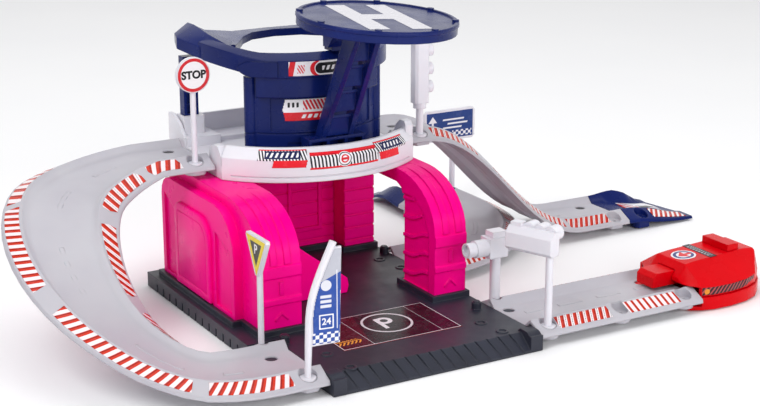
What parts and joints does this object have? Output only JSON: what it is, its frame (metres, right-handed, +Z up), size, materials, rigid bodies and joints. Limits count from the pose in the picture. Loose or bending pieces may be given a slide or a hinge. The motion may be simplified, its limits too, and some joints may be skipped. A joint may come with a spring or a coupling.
{
  "type": "toy parking garage",
  "caption": "Toy car park with a raised deck, banked half-turn ramp, S-shaped ramp, curved and straight ground tracks, helipad on a ladder strut, spring launcher and turning signs.",
  "frame": {"origin": "centre of the base plate's flat underside, where the garage rests", "axes": "+Z up, +Y from the drive-up apron to the back wall, +X towards the launcher"},
  "size_m": [0.4994, 0.319, 0.1841],
  "materials": {
    "charcoal_plastic": "fine moulded grain",
    "pink_plastic": "glossy moulded",
    "white_plastic": "glossy moulded",
    "navy_plastic": "glossy moulded",
    "grey_plastic": "satin moulded",
    "red_plastic": "glossy moulded",
    "steel": "drawn wire and plated screws"
  },
  "bodies": {
    "garage": {"base_plate": "charcoal_plastic", "left_wall_block": "pink_plastic", "back_wall": "pink_plastic", "front_right_pillar": "pink_plastic", "back_right_pillar": "pink_plastic", "garage_slide": "pink_plastic", "deck": "white_plastic", "tower_facade": "navy_plastic", "ring_roof": "navy_plastic", "back_left_post": "navy_plastic", "helipad_disc": "navy_plastic", "helipad_strut": "navy_plastic", "helipad_clip": "navy_plastic", "left_ramp": "grey_plastic", "right_ramp": "grey_plastic", "right_flare": "navy_plastic", "curve_track": "grey_plastic", "curve_flare": "navy_plastic", "straight_track": "grey_plastic", "launcher_base": "red_plastic", "launcher_cover": "red_plastic", "launcher_spring": "steel", "button_spring": "steel", "launcher_screw_1": "steel", "launcher_screw_2": "steel", "launcher_screw_3": "steel", "wall_screw_1": "steel", "wall_screw_2": "steel", "wall_screw_3": "steel", "wall_screw_4": "steel"},
    "button": {"launcher_button": "red_plastic"},
    "pusher": {"launcher_pusher": "red_plastic"},
    "stop": {"stop_sign": "white_plastic"},
    "parking": {"parking_sign": "white_plastic"},
    "flag": {"flag_sign": "white_plastic"},
    "lights": {"traffic_light": "white_plastic"},
    "gantry": {"gantry_light": "white_plastic"},
    "camera": {"camera_sign": "white_plastic"},
    "board": {"billboard": "white_plastic"}
  },
  "joints": [
    {"name": "button_press", "type": "slide", "parent": "garage", "child": "button", "axis": [0, 0, -1], "range_m": [0, 0.0025], "stiffness_N_per_m": 150, "springref_m": -0.002, "deforming": ["button_spring"]},
    {"name": "pusher_travel", "type": "slide", "parent": "garage", "child": "pusher", "axis": [1, 0, 0], "range_m": [0, 0.018], "stiffness_N_per_m": 40, "springref_m": -0.005, "deforming": ["launcher_spring"]},
    {"name": "stop_turn", "type": "hinge", "parent": "garage", "child": "stop", "pos_m": [-0.0616, 0.0534, 0.0871], "axis": [0, 0, 1], "continuous": true},
    {"name": "parking_turn", "type": "hinge", "parent": "garage", "child": "parking", "pos_m": [-0.0697, -0.0479, 0.0081], "axis": [0, 0, 1], "continuous": true},
    {"name": "flag_turn", "type": "hinge", "parent": "garage", "child": "flag", "pos_m": [-0.0675, -0.0981, 0.0081], "axis": [0, 0, 1], "continuous": true},
    {"name": "lights_turn", "type": "hinge", "parent": "garage", "child": "lights", "pos_m": [0.0885, 0.048, 0.0871], "axis": [0, 0, 1], "continuous": true},
    {"name": "gantry_turn", "type": "hinge", "parent": "garage", "child": "gantry", "pos_m": [0.0844, -0.0985, 0.0081], "axis": [0, 0, 1], "range_deg": [-45, 45]},
    {"name": "camera_turn", "type": "hinge", "parent": "garage", "child": "camera", "pos_m": [0.0806, -0.0505, 0.0081], "axis": [0, 0, 1], "range_deg": [-50, 50]},
    {"name": "board_turn", "type": "hinge", "parent": "garage", "child": "board", "pos_m": [0.1906, 0.169, 0.0071], "axis": [0, 0, 1], "continuous": true}
  ]
}
